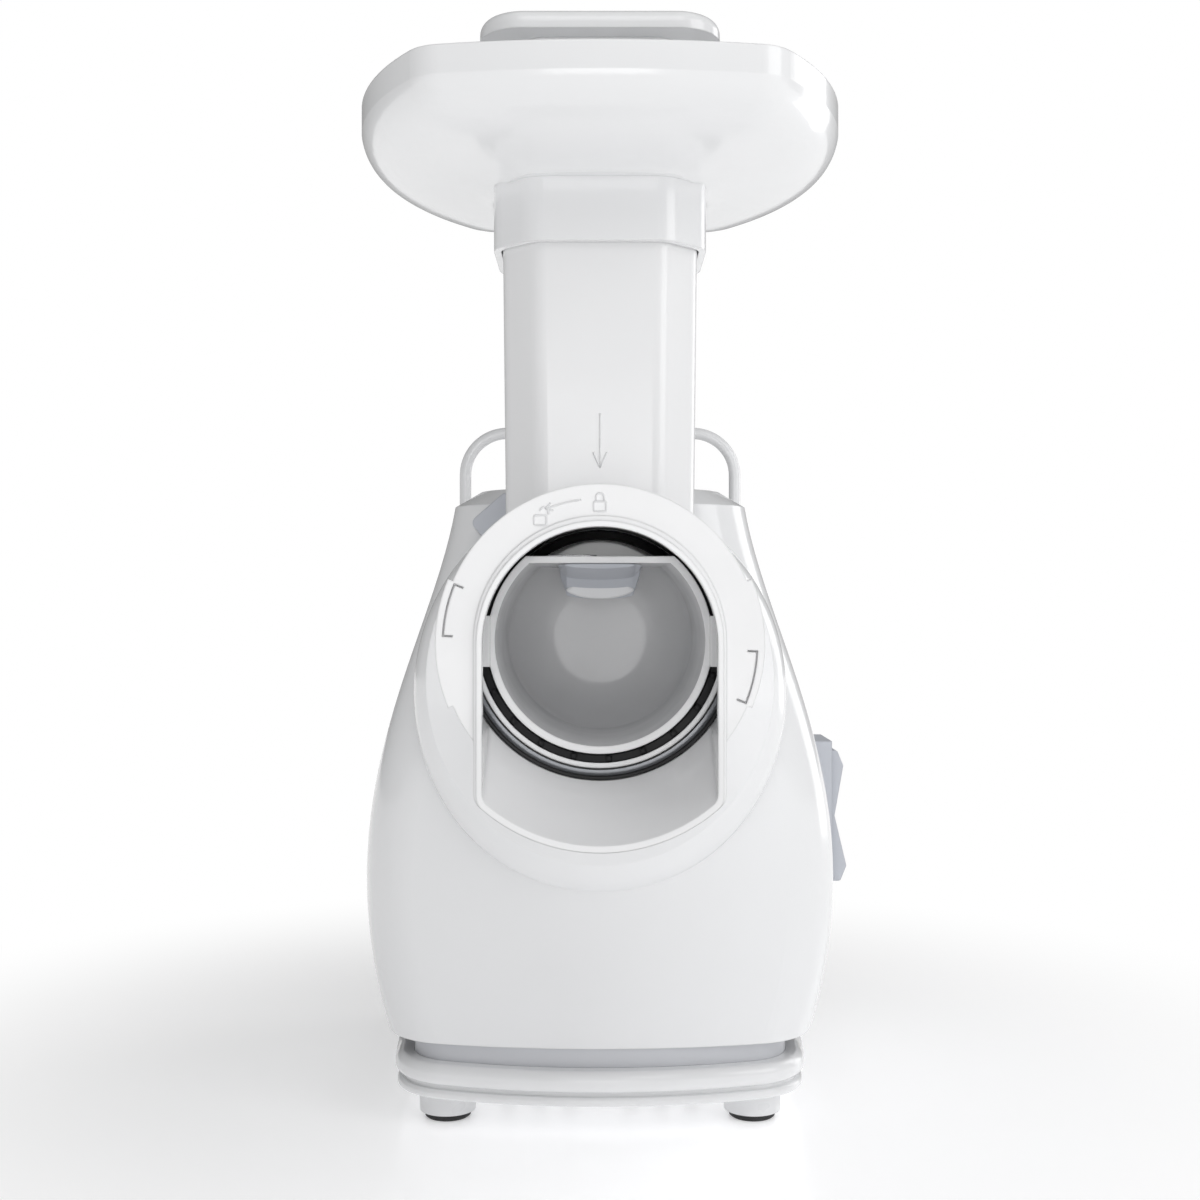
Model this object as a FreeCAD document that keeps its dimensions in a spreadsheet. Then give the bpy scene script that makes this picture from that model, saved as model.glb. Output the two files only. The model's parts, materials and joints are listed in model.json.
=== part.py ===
import FreeCAD, Part
import math
import os

import Sketcher

# Electric drum shredder: a motor body that carries a drum housing with a feed chute.
# Frame: +Z up, the front faces -Y, the origin is on the rest plane under the middle of the body.
# All sizes are millimetres.

Vector = FreeCAD.Vector
Rotation = FreeCAD.Rotation

SIZES = {
    # drive line: every turning axis runs along Y in the plane X = 0
    "axis_height": 176.0,
    "counter_height": 136.0,
    "motor_height": 101.0,
    # body shell sections: height, half width, front and back
    "hem_height": 30.0,
    "hem_half": 80.5,
    "belly_height": 81.0,
    "belly_half": 89.0,
    "waist_height": 127.0,
    "waist_half": 84.4,
    "shoulder_height": 177.0,
    "shoulder_half": 69.0,
    "crown_height": 222.0,
    "crown_half": 55.5,
    "top_height": 228.0,
    "top_half": 46.0,
    "body_front": -88.0,
    "body_back": 92.0,
    "body_corner": 26.0,
    "side_bow": 600.0,
    "front_bow": 260.0,
    "shell_wall": 2.6,
    "split_back": 58.0,
    # boss on the front of the body
    "boss_half": 65.0,
    "boss_rise": 70.0,
    "boss_middle": 156.0,
    "boss_front": -95.5,
    # base
    "base_half": 78.0,
    "base_front": -90.0,
    "base_back": 88.0,
    "rail_low": 11.0,
    "rail_middle": 14.9,
    "rail_high": 23.2,
    "rail_bow": 190.0,
    "foot_x": 55.5,
    "foot_front": -63.0,
    "foot_back": 66.0,
    "foot_radius": 10.5,
    "pad_radius": 8.3,
    "pad_height": 2.2,
    # head: drum housing and feed chute
    "mouth": -173.0,
    "barrel_back": -97.0,
    "barrel_bore": 35.7,
    "barrel_radius": 40.3,
    "neck_radius": 30.0,
    "neck_back": -82.0,
    "chute_middle": -128.0,
    "chute_half": 30.6,
    "chute_depth": 27.0,
    "chute_cut": 11.0,
    "chute_round": 7.0,
    "chute_wall": 2.4,
    "chute_top": 317.0,
    "tray_half": 75.5,
    "tray_side_bow": 110.0,
    "tray_end_bow": 260.0,
    "tray_corner": 13.0,
    "tray_rim": 341.0,
    "tray_band": 8.0,
    "tray_wall": 2.4,
    "sleeve_low": 297.0,
    "cap_top": 366.0,
    # front cover
    "cover_front": -200.0,
    "cover_radius": 44.0,
    "cover_bore": 40.9,
    "arch_radius": 32.2,
    "spout_half": 32.4,
    "spout_low": 118.4,
    # slicing drum
    "drum_radius": 32.9,
    "drum_wall": 2.2,
    "flat_rise": 22.8,
    "socket_radius": 37.0,
}

doc = FreeCAD.newDocument("DrumShredder")
sheet = doc.addObject("Spreadsheet::Sheet", "sizes")
for row, (alias, number) in enumerate(SIZES.items(), start=1):
    sheet.set(f"A{row}", alias)
    sheet.set(f"B{row}", str(number))
    sheet.setAlias(f"B{row}", alias)
doc.recompute()

NODES = {}


# ---------------------------------------------------------------- helpers

def value(text):
    """The number that an expression on the sheet stands for."""
    return float(sheet.evalExpression(str(text)))


def size(alias):
    """One driving dimension, read from the sheet."""
    return float(sheet.get(alias))


def bind(obj, **expressions):
    """Bind properties of obj to expressions on the sheet."""
    for prop, text in expressions.items():
        obj.setExpression(prop, str(text))


def place(obj, x=0, y=0, z=0, turn=None):
    """Place obj at a point, whose coordinates may be expressions, with an optional rotation."""
    obj.Placement = FreeCAD.Placement(
        Vector(value(x), value(y), value(z)), turn or Rotation())
    for axis, text in zip("xyz", (x, y, z)):
        obj.setExpression(f"Placement.Base.{axis}", str(text))
    return obj


# a turned piece's Y axis to Z, and a cylinder's Z axis to Y
ALONG_Z = Rotation(Vector(1, 0, 0), 90)
ALONG_Y = Rotation(Vector(1, 0, 0), -90)


def keep(label, obj):
    """Name a finished sub-part, so that it is checked and written."""
    obj.Label = label
    NODES[label] = obj
    return obj


def origin_plane(body, role):
    return [f for f in body.Origin.OriginFeatures if f.Role == role][0]


def outline_sketch(body, role, points):
    """A closed outline of straight sides whose corners are bound to the sheet."""
    sketch = body.newObject("Sketcher::SketchObject", "outline")
    sketch.AttachmentSupport = [(origin_plane(body, role), "")]
    sketch.MapMode = "FlatFace"
    corners = [Vector(value(a), value(b), 0) for a, b in points]
    count = len(corners)
    for i in range(count):
        sketch.addGeometry(Part.LineSegment(corners[i], corners[(i + 1) % count]))
    for i in range(count):
        sketch.addConstraint(Sketcher.Constraint("Coincident", i, 2, (i + 1) % count, 1))
    for i, pair in enumerate(points):
        for kind, text in zip(("DistanceX", "DistanceY"), pair):
            number = sketch.addConstraint(
                Sketcher.Constraint(kind, -1, 1, i, 1, value(text)))
            sketch.setExpression(f"Constraints[{number}]", str(text))
    return sketch


def round_edges(body, feature, radius, chosen):
    """Round the edges of feature that pass the test chosen(edge)."""
    doc.recompute()
    names = [f"Edge{i}" for i, edge in enumerate(feature.Shape.Edges, start=1) if chosen(edge)]
    fillet = body.newObject("PartDesign::Fillet", "rounding")
    fillet.Base = (feature, names)
    fillet.Radius = value(radius)
    body.Tip = fillet
    return fillet


def turned(name, points, x=0, y=0, z=0, turn=None):
    """A turned piece: (along, radius) corners revolved about the piece's own Y axis."""
    body = doc.addObject("PartDesign::Body", name)
    sketch = outline_sketch(body, "YZ_Plane", points)
    spin = body.newObject("PartDesign::Revolution", "spin")
    spin.Profile = sketch
    spin.ReferenceAxis = (sketch, ["H_Axis"])
    spin.Angle = 360
    return place(body, x, y, z, turn)


def on_edge_circle(radius, along):
    """A test for the circular edge of a turned piece with this radius at this place."""
    def chosen(edge):
        curve = edge.Curve
        if not isinstance(curve, Part.Circle):
            return False
        return abs(curve.Radius - radius) < 0.01 and abs(curve.Center.y - along) < 0.01
    return chosen


def padded(name, points, height, z):
    """A prism that stands on the height z: the outline padded by height."""
    body = doc.addObject("PartDesign::Body", name)
    sketch = outline_sketch(body, "XY_Plane", points)
    pad = body.newObject("PartDesign::Pad", "pad")
    pad.Profile = sketch
    pad.Length = value(height)
    bind(pad, Length=height)
    return place(body, z=z)


def upright(edge):
    """True for a straight edge that runs along Z."""
    if not isinstance(edge.Curve, Part.Line):
        return False
    return abs(edge.tangentAt(edge.FirstParameter).z) > 0.999


def level(edge):
    """True for a straight edge that runs along Y."""
    if not isinstance(edge.Curve, Part.Line):
        return False
    return abs(edge.tangentAt(edge.FirstParameter).y) > 0.999


def box(name, low, high):
    """A box between two corners, whose coordinates may be expressions."""
    solid = doc.addObject("Part::Box", name)
    for prop, a, b in zip(("Length", "Width", "Height"), low, high):
        bind(solid, **{prop: f"({b}) - ({a})"})
    return place(solid, *low)


def cylinder(name, radius, length, x=0, y=0, z=0):
    """A cylinder that starts at the point and runs along Y."""
    solid = doc.addObject("Part::Cylinder", name)
    bind(solid, Radius=radius, Height=length)
    return place(solid, x, y, z, ALONG_Y)


def fuse(name, *parts):
    joined = doc.addObject("Part::MultiFuse", name)
    joined.Shapes = list(parts)
    return joined


def cut(name, base, *tools):
    result = doc.addObject("Part::Cut", name)
    result.Base = base
    result.Tool = tools[0] if len(tools) == 1 else fuse(name + "_tools", *tools)
    return result


def common(name, *parts):
    result = doc.addObject("Part::MultiCommon", name)
    result.Shapes = list(parts)
    return result


def shaped(name, shape):
    """A sub-part whose shape is worked out in code from the sheet."""
    feature = doc.addObject("Part::Feature", name)
    feature.Shape = shape
    feature.Placement = shape.Placement
    return feature


def group(name, shapes):
    """Identical pieces that share one node as separate solids."""
    return shaped(name, Part.makeCompound(shapes))


def ring_section(half, front, back, bows, corner, z):
    """A closed wire at height z: two bowed sides and two bowed ends joined by tangent corner arcs.

    bows is the radius of the sides and the radius of the ends.
    """
    side_bow, end_bow = bows
    middle = (front + back) / 2
    side = half - side_bow
    end = (back - front) / 2 - end_bow
    side_reach = side_bow - corner
    end_reach = end_bow - corner
    # The corner arc's centre is as far from each bow's centre as their radii differ.
    gap = math.hypot(side, end)
    along = (side_reach ** 2 - end_reach ** 2 + gap ** 2) / (2 * gap)
    rise = math.sqrt(side_reach ** 2 - along ** 2)
    cx = side - along * side / gap - rise * end / gap
    cy = along * end / gap - rise * side / gap
    to_side = Vector(cx - side, cy, 0) / side_reach
    to_end = Vector(cx, cy - end, 0) / end_reach
    on_side = Vector(side, 0, 0) + to_side * side_bow
    on_end = Vector(0, end, 0) + to_end * end_bow
    out = Vector(cx, cy, 0) + (to_side + to_end).normalize() * corner
    edges = []

    def spot(v, sx, sy):
        return Vector(sx * v.x, middle + sy * v.y, z)

    def arc(a, b, c):
        edges.append(Part.Arc(a, b, c).toShape())

    arc(spot(on_side, 1, -1), Vector(half, middle, z), spot(on_side, 1, 1))
    arc(spot(on_side, 1, 1), spot(out, 1, 1), spot(on_end, 1, 1))
    arc(spot(on_end, 1, 1), Vector(0, back, z), spot(on_end, -1, 1))
    arc(spot(on_end, -1, 1), spot(out, -1, 1), spot(on_side, -1, 1))
    arc(spot(on_side, -1, 1), Vector(-half, middle, z), spot(on_side, -1, -1))
    arc(spot(on_side, -1, -1), spot(out, -1, -1), spot(on_end, -1, -1))
    arc(spot(on_end, -1, -1), Vector(0, front, z), spot(on_end, 1, -1))
    arc(spot(on_end, 1, -1), spot(out, 1, -1), spot(on_side, 1, -1))
    return Part.Wire(edges)


def octagon(half, depth, chamfer, z, rounding=0.0):
    """An eight-sided wire round the chute's middle line: a rectangle with cut, rounded corners."""
    middle = size("chute_middle")
    quarter = [(half, depth - chamfer), (half - chamfer, depth)]
    ring = quarter + [(-x, y) for x, y in reversed(quarter)]
    ring += [(-x, -y) for x, y in ring]
    points = [Vector(x, middle + y, z) for x, y in ring]
    if not rounding:
        return Part.makePolygon(points + points[:1])
    # Every corner turns by 45 degrees, or close to it.
    back_off = rounding * math.tan(math.pi / 8)
    edges = []
    count = len(points)
    for i, point in enumerate(points):
        before = (points[i - 1] - point).normalize()
        after = (points[(i + 1) % count] - point).normalize()
        start = point + before * back_off
        stop = point + after * back_off
        inward = (before + after).normalize()
        sagitta = rounding / math.cos(math.pi / 8) - rounding
        edges.append(Part.Arc(start, point + inward * sagitta, stop).toShape())
        following = points[(i + 1) % count] - after * back_off
        edges.append(Part.LineSegment(stop, following).toShape())
    return Part.Wire(edges)


def loft(*wires, ruled=False):
    return Part.makeLoft(list(wires), True, ruled)


def tube_between(radius, hole, start, end, height):
    """A tube along Y at X = 0."""
    base = Vector(0, start, height)
    outer = Part.makeCylinder(radius, end - start, base, Vector(0, 1, 0))
    if not hole:
        return outer
    return outer.cut(Part.makeCylinder(hole, end - start, base, Vector(0, 1, 0)))


def sector(radius, hole, start, end, first, last):
    """Part of a tube about the drum axis, between two angles in degrees from +X towards +Z."""
    height = size("axis_height")
    angle = math.radians(first)
    corners = [(hole, start), (radius, start), (radius, end), (hole, end)]
    points = [Vector(r * math.cos(angle), y, height + r * math.sin(angle)) for r, y in corners]
    face = Part.Face(Part.makePolygon(points + points[:1]))
    return face.revolve(Vector(0, 0, height), Vector(0, -1, 0), last - first)


# ---------------------------------------------------------------- body shell

def body_section(name, inset, drop=0.0):
    """The body's outline at one named height, moved in by a wall."""
    lean = {"hem": (4.0, -4.0), "belly": (0, 0), "waist": (0, -1.5), "shoulder": (1.5, -9.0),
            "crown": (4.5, -22.0), "top": (13.0, -32.0)}[name]
    return ring_section(
        size(name + "_half") - inset,
        size("body_front") + lean[0] + inset,
        size("body_back") + lean[1] - inset,
        (size("side_bow"), size("front_bow")),
        size("body_corner") - inset,
        size(name + "_height") - drop)


def body_block(inset):
    """The body as a solid, moved in by a wall on every face but the open bottom."""
    names = ("hem", "belly", "waist", "shoulder", "crown")
    lower = loft(*[body_section(name, inset) for name in names])
    upper = loft(body_section("crown", inset), body_section("top", inset, inset), ruled=True)
    return lower.fuse(upper).removeSplitter()


def ellipse_wire(half, rise, middle, y):
    ellipse = Part.Ellipse(Vector(0, y, middle + rise), Vector(half, y, middle), Vector(0, y, middle))
    return Part.Wire([ellipse.toShape()])


def boss_block(inset):
    """The soft boss on the front: three ellipses that shrink towards the socket."""
    half = size("boss_half") - inset
    rise = size("boss_rise") - inset
    middle = size("boss_middle")
    front = size("boss_front") + inset
    back = size("body_front") + 14.0
    return loft(
        ellipse_wire(half, rise, middle, back),
        ellipse_wire(half - 0.5, rise - 0.5, middle, size("body_front") - 0.5),
        ellipse_wire(half - 5.0, rise - 6.5, middle + 4.0, front))


def corner_post(x, y):
    """A screw post near a corner of the body with a rib that ties it to the wall."""
    post = Part.makeCylinder(5.0, 40.0, Vector(x, y, size("hem_height")))
    rib = Part.makeBox(40.0, 2.4, 40.0, Vector(x if x > 0 else x - 40.0, y - 1.2, size("hem_height")))
    return post.fuse(rib)


SCREW_SPOTS = [(sx * 62.0, y) for sx in (-1, 1) for y in (-48.0, 46.0)]


def make_body():
    outer = body_block(0.0)
    wall = size("shell_wall")
    posts = corner_post(*SCREW_SPOTS[0])
    for spot in SCREW_SPOTS[1:]:
        posts = posts.fuse(corner_post(*spot))
    posts = posts.common(outer)
    shell = outer.fuse(boss_block(0.0)).cut(body_block(wall)).cut(boss_block(wall))
    shell = shell.fuse(posts)
    for x, y in SCREW_SPOTS:
        shell = shell.cut(Part.makeCylinder(1.75, 30.0, Vector(x, y, size("hem_height") - 1)))
    # seat of the socket ring
    shell = shell.cut(tube_between(size("socket_radius") + 0.1, 0, -110.0, -70.0, size("axis_height")))
    # release button's slot on the upper left of the boss, and the latch pin's hole
    shell = shell.cut(button_block(0.35, -110.0, -60.0))
    shell = shell.cut(Part.makeCylinder(1.3, 40.0, latch_spot(-110.0), Vector(0, 1, 0)))
    # rocker window on the right side, cord inlet hole at the back
    middle = rocker_middle()
    shell = shell.cut(Part.makeBox(30.0, 30.6, 58.6, Vector(70.0, middle.y - 15.3, middle.z - 29.3)))
    back = Part.makeBox(240.0, 80.0, 260.0, Vector(-120.0, size("split_back"), 20.0))
    front = shell.cut(back)
    rear = shell.common(back)
    rear = rear.cut(Part.makeCylinder(5.5, 60.0, Vector(CORD_X, 60.0, CORD_Z), Vector(0, 1, 0)))
    for row in range(6):
        for x in (-30.0, 0.0, 30.0):
            slot = Part.makeBox(24.0, 60.0, 3.0, Vector(x - 12.0, 60.0, 116.0 + 9.0 * row))
            rear = rear.cut(slot)
    keep("body_shell", shaped("body_shell", front))
    keep("rear_cover", shaped("rear_cover", rear))


CORD_X = -40.0
CORD_Z = 48.0


def rocker_middle():
    """The rocker's pivot, just inside the body's right side."""
    return Vector(86.4, -14.0, 104.0)


BUTTON_ANGLE = 131.0
BUTTON_LOW = 47.0
BUTTON_HIGH = 59.0
BUTTON_FRONT = -92.0
BUTTON_BACK = -80.0
LATCH_RADIUS = 38.8


def button_block(clearance, start, end):
    """A rounded bar along Y, square to the radius from the drum axis up and to the left."""
    width = 17.0 + 2 * clearance
    depth = BUTTON_HIGH - BUTTON_LOW + 2 * clearance
    block = Part.makeBox(width, end - start, depth, Vector(-width / 2, start, BUTTON_LOW - clearance))
    block = block.makeFillet(2.5, [e for e in block.Edges if level(e)])
    block.rotate(Vector(), Vector(0, 1, 0), 90.0 - BUTTON_ANGLE)
    block.translate(Vector(0, 0, size("axis_height")))
    return block


def latch_spot(y):
    """The middle of the latch pin at a given depth."""
    angle = math.radians(BUTTON_ANGLE)
    return Vector(LATCH_RADIUS * math.cos(angle), y,
                  size("axis_height") + LATCH_RADIUS * math.sin(angle))


# ---------------------------------------------------------------- base

def base_block(inset, corner, bottom, top):
    """A slab with the base's outline, moved in from its edge, between two heights."""
    outline = ring_section(size("base_half") - inset, size("base_front") + inset,
                           size("base_back") - inset, (size("side_bow"), size("rail_bow")),
                           corner, bottom)
    return Part.Face(outline).extrude(Vector(0, 0, top - bottom))


def rounded_rim(block, radius):
    return block.makeFillet(radius, [e for e in block.Edges if not upright(e)])


def make_base():
    """A tray with two rounded rails round its edge, the grey skirt above it, feet and screws."""
    low = size("rail_low")
    floor = size("rail_middle")
    groove = 1.4
    lower = rounded_rim(base_block(0.8, 24.0, low, floor - groove / 2), 1.3)
    core = base_block(3.0, 22.0, low + 1.0, floor + groove)
    upper = rounded_rim(base_block(0.0, 25.0, floor + groove / 2, size("rail_high")), 3.2)
    tray = lower.fuse(core).fuse(upper).cut(base_block(7.0, 18.0, floor, floor + 20.0))
    for x, y in SCREW_SPOTS:
        tray = tray.cut(Part.makeCylinder(2.2, 30.0, Vector(x, y, 5.0)))
    for i in (-3, -2, -1, 1, 2, 3):
        tray = tray.cut(Part.makeBox(6.0, 60.0, 20.0, Vector(12.0 * i - 3.0, -30.0, 5.0)))
    keep("base_tray", shaped("base_tray", tray.removeSplitter()))

    band = base_block(7.1, 18.0, floor + 0.1, size("hem_height"))
    inside = base_block(9.6, 15.5, floor - 1.0, size("hem_height") + 1.0)
    keep("base_skirt", shaped("base_skirt", band.cut(inside)))

    spots = {
        "front_left": (-1, "sizes.foot_front"), "front_right": (1, "sizes.foot_front"),
        "rear_left": (-1, "sizes.foot_back"), "rear_right": (1, "sizes.foot_back"),
    }
    for name, (side, y) in spots.items():
        x = f"{side} * sizes.foot_x"
        foot = turned("foot_" + name, [
            (0, 0), ("sizes.rail_low - sizes.pad_height", 0),
            ("sizes.rail_low - sizes.pad_height", "sizes.foot_radius"),
            (0.4, "sizes.foot_radius - 0.3"), (0.4, "sizes.pad_radius + 0.1"),
            (0, "sizes.pad_radius + 0.1")], x, y, "sizes.pad_height", ALONG_Z)
        keep("foot_" + name, foot)
        pad = turned("pad_" + name, [
            (0, 0), ("sizes.pad_height", 0), ("sizes.pad_height", "sizes.pad_radius"),
            (0.5, "sizes.pad_radius"), (0, "sizes.pad_radius - 0.6")], x, y, 0, ALONG_Z)
        keep("pad_" + name, pad)

    screws = []
    for x, y in SCREW_SPOTS:
        shank = Part.makeCylinder(1.65, 32.5, Vector(x, y, floor + 0.1))
        head = Part.makeCylinder(3.6, 2.2, Vector(x, y, floor))
        slot = Part.makeBox(5.0, 0.8, 0.9, Vector(x - 2.5, y - 0.4, floor))
        screws.append(shank.fuse(head).cut(slot))
    keep("base_screws", group("base_screws", screws))


# ---------------------------------------------------------------- carry handle

HANDLE_X = 54.6
HANDLE_Y = -2.0
HANDLE_TOP = 255.6
HANDLE_FOOT = 212.0
HANDLE_BAR = 2.3
FERRULE_FOOT = 208.0


def ferrule_cone(side):
    """The tapered block of one ferrule, before the bar is taken out of it."""
    return Part.makeCone(5.0, 4.0, 17.0, Vector(side * HANDLE_X, HANDLE_Y, FERRULE_FOOT))


def make_handle():
    """A round bar bent into an inverted U whose legs stand in two ferrules on the shoulders."""
    bend = 17.0
    left = Vector(-HANDLE_X, HANDLE_Y, HANDLE_FOOT)
    left_up = Vector(-HANDLE_X, HANDLE_Y, HANDLE_TOP - bend)
    left_in = Vector(-HANDLE_X + bend, HANDLE_Y, HANDLE_TOP)
    mid = Vector(
        -HANDLE_X + bend * (1 - math.cos(math.pi / 4)), HANDLE_Y,
        HANDLE_TOP - bend * (1 - math.sin(math.pi / 4)))

    def mirror(v):
        return Vector(-v.x, v.y, v.z)

    path = Part.Wire([
        Part.LineSegment(left, left_up).toShape(),
        Part.Arc(left_up, mid, left_in).toShape(),
        Part.LineSegment(left_in, mirror(left_in)).toShape(),
        Part.Arc(mirror(left_in), mirror(mid), mirror(left_up)).toShape(),
        Part.LineSegment(mirror(left_up), mirror(left)).toShape(),
    ])
    ring = Part.Wire([Part.makeCircle(HANDLE_BAR, left, left_up - left)])
    bar = path.makePipeShell([ring], True, False)
    if bar.Volume < 0:
        bar.reverse()
    body = NODES["body_shell"]
    for side, name in ((-1, "left"), (1, "right")):
        keep("ferrule_" + name, shaped("ferrule_" + name, ferrule_cone(side).cut(bar)))
        body.Shape = body.Shape.cut(ferrule_cone(side))
    keep("carry_handle", shaped("carry_handle", bar))


# ---------------------------------------------------------------- rocker and release button

def make_rocker():
    pivot = rocker_middle()
    frame = Part.makeBox(9.0, 30.4, 58.4, Vector(pivot.x - 5.4, pivot.y - 15.2, pivot.z - 29.2))
    inner = Part.makeBox(30.0, 26.4, 54.4, Vector(pivot.x - 15.0, pivot.y - 13.2, pivot.z - 27.2))
    keep("rocker_frame", shaped("rocker_frame", frame.cut(inner)))

    # The rocker's side view: a shallow V whose ends stand out, on a round pivot bar.
    points = [(-3.0, -25.4), (7.2, -25.4), (9.6, -19.5), (5.0, 0.0), (8.4, 19.5), (6.0, 25.4),
              (-3.0, 25.4), (-1.0, 0.0)]
    wire = Part.makePolygon([Vector(pivot.x + a, pivot.y - 12.6, pivot.z + b)
                             for a, b in points + points[:1]])
    rocker = Part.Face(wire).extrude(Vector(0, 25.2, 0))
    long_edges = [e for e in rocker.Edges if level(e) and e.Vertexes[0].X > pivot.x + 5.5]
    rocker = rocker.makeFillet(1.2, long_edges)
    pin = Part.makeCylinder(1.5, 25.2, Vector(pivot.x, pivot.y - 12.6, pivot.z), Vector(0, 1, 0))
    keep("rocker", shaped("rocker", rocker.fuse(pin).removeSplitter()))

    block = Part.makeBox(24.0, 24.0, 40.0, Vector(pivot.x - 40.0, pivot.y - 12.0, pivot.z - 20.0))
    blades = []
    for z in (-12.0, 0.0, 12.0):
        blades.append(Part.makeBox(
            8.0, 6.3, 0.8, Vector(pivot.x - 48.0, pivot.y - 3.1, pivot.z + z - 0.4)))
    neck = Part.makeBox(11.0, 20.0, 30.0, Vector(pivot.x - 16.0, pivot.y - 10.0, pivot.z - 15.0))
    keep("switch_block", shaped("switch_block", block.fuse(neck)))
    keep("switch_tabs", group("switch_tabs", blades))


def button_arm(low, high, width, start, end):
    """A flat bar along the button's radius, between two distances from the drum axis."""
    arm = Part.makeBox(width, end - start, high - low, Vector(-width / 2, start, low))
    arm.rotate(Vector(), Vector(0, 1, 0), 90.0 - BUTTON_ANGLE)
    arm.translate(Vector(0, 0, size("axis_height")))
    return arm


def make_button():
    """The release button, the latch pin that it draws back, and the spring behind it."""
    keep("release_button", shaped("release_button", button_block(0.0, BUTTON_FRONT, BUTTON_BACK)))
    tip = size("barrel_back") + 0.3
    pin = Part.makeCylinder(1.0, BUTTON_BACK + 2.0 - tip, latch_spot(tip), Vector(0, 1, 0))
    arm = button_arm(LATCH_RADIUS - 1.0, BUTTON_HIGH - 4.0, 5.0, BUTTON_BACK, BUTTON_BACK + 2.0)
    keep("latch_pin", shaped("latch_pin", pin.fuse(arm).removeSplitter()))
    middle = (BUTTON_LOW + BUTTON_HIGH) / 2
    angle = math.radians(BUTTON_ANGLE)
    pitch = 2.0
    turns = 3
    coil = 3.0
    helix = Part.makeHelix(pitch, pitch * turns, coil)
    ring = Part.Wire([Part.makeCircle(0.4, Vector(coil, 0, 0), Vector(0, 1, 0))])
    spring = Part.Wire(helix).makePipeShell([ring], True, True)
    if spring.Volume < 0:
        spring.reverse()
    spring.rotate(Vector(), Vector(1, 0, 0), -90.0)
    spring.translate(Vector(middle * math.cos(angle), BUTTON_BACK + 2.7,
                            size("axis_height") + middle * math.sin(angle)))
    keep("release_spring", shaped("release_spring", spring))


# ---------------------------------------------------------------- head

def make_socket():
    """The metal ring in the boss: a bore with a groove and three entry slots for the lugs."""
    height = size("axis_height")
    front = size("boss_front") + 0.3
    ring = tube_between(size("socket_radius"), size("neck_radius") + 0.3, front, -79.0, height)
    groove = tube_between(33.6, 0, -89.2, -82.6, height)
    ring = ring.cut(groove)
    for first in (60.0, 180.0, 300.0):
        entry = sector(33.6, 20.0, front - 1, -85.0, first - 9.0, first + 9.0)
        ring = ring.cut(entry)
    ring = ring.fuse(tube_between(size("socket_radius"), 33.9, -79.1, -77.0, height))
    keep("socket_ring", shaped("socket_ring", ring.removeSplitter()))


def chute_block(inset, low, high):
    """The chute as a solid with a slight draft, moved in by a wall."""
    half = size("chute_half") - inset
    depth = size("chute_depth") - inset
    chamfer = size("chute_cut") - inset * 0.6
    rounding = size("chute_round") - inset
    draft = 1.3
    return loft(octagon(half - draft, depth - draft, chamfer, low, rounding),
                octagon(half, depth, chamfer, high, rounding), ruled=True)


def chute_sleeve(gap, cut, low, high):
    """A straight eight-sided block that stands off the chute's outside by gap."""
    half = size("chute_half") + gap
    depth = size("chute_depth") + gap
    chamfer = size("chute_cut") + cut
    rounding = size("chute_round") + gap
    return loft(octagon(half, depth, chamfer, low, rounding),
                octagon(half, depth, chamfer, high, rounding), ruled=True)


def make_housing():
    height = size("axis_height")
    mouth = size("mouth")
    back = size("barrel_back")
    barrel = tube_between(size("barrel_radius"), 0, mouth + 6.0, back, height)
    lip = tube_between(37.2, 0, mouth - 0.6, mouth + 6.5, height)
    neck = tube_between(size("neck_radius"), 0, back - 1, size("neck_back"), height)
    chute = chute_block(0.0, height + 12.0, size("chute_top"))
    solid = barrel.fuse(lip).fuse(neck).fuse(chute)
    bore = tube_between(size("barrel_bore"), 0, mouth - 2, back - 3.0, height)
    inside = chute_block(size("chute_wall"), height + 8.0, size("chute_top") + 1)
    neck_bore = tube_between(26.0, 0, back, size("neck_back") + 1, height)
    hub_hole = tube_between(9.7, 0, back - 5, back + 5, height)
    solid = solid.cut(bore.fuse(inside)).cut(neck_bore).cut(hub_hole)
    for first in (20.0, 140.0, 260.0):
        solid = solid.fuse(sector(33.0, 28.0, -88.6, -84.6, first - 8.0, first + 8.0))
    # lugs that hold the front cover
    for first in (-18.5, 161.5):
        solid = solid.fuse(sector(42.9, 38.0, -167.0, -163.0, first - 3.5, first + 3.5))
    keep("drum_housing", shaped("drum_housing", solid.removeSplitter()))

    ring = tube_between(size("barrel_bore") - 0.05, size("drum_radius") + 0.4,
                        mouth - 0.2, mouth + 14.0, height)
    for i in range(21):
        rib = sector(35.2, 33.7, mouth - 0.9, mouth, i * 360 / 21 - 1.3, i * 360 / 21 + 1.3)
        ring = ring.fuse(rib)
    keep("ribbed_ring", shaped("ribbed_ring", ring))

    seal = turned("seal_ring", [(-0.6, 37.3), (4.8, 37.3), (4.8, 39.2), (0.6, 39.6), (-0.6, 38.6)],
                  0, "sizes.mouth", "sizes.axis_height")
    keep("seal_ring", seal)

    washer = tube_between(35.6, 12.0, back - 4.0, back - 3.0, height)
    keep("thrust_washer", shaped("thrust_washer", washer))


def tray_section(scale, z):
    """The tray's outline at one height, scaled about the chute's middle line."""
    half = size("tray_half") * scale
    bows = (size("tray_side_bow") * scale, size("tray_end_bow") * scale)
    return ring_section(half, size("chute_middle") - half, size("chute_middle") + half,
                        bows, size("tray_corner") * scale, z)


def tray_block(inset):
    """The dish as a solid, moved in and up by its wall."""
    half = size("tray_half")
    shrink = (half - inset) / half
    edge = size("tray_rim") - size("tray_band")
    return loft(tray_section(shrink, edge),
                tray_section(0.975 * shrink, edge - 5.0 + inset * 0.4),
                tray_section(0.80 * shrink, edge - 12.5 + inset),
                tray_section(0.45 * shrink, edge - 16.5 + inset))


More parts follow.
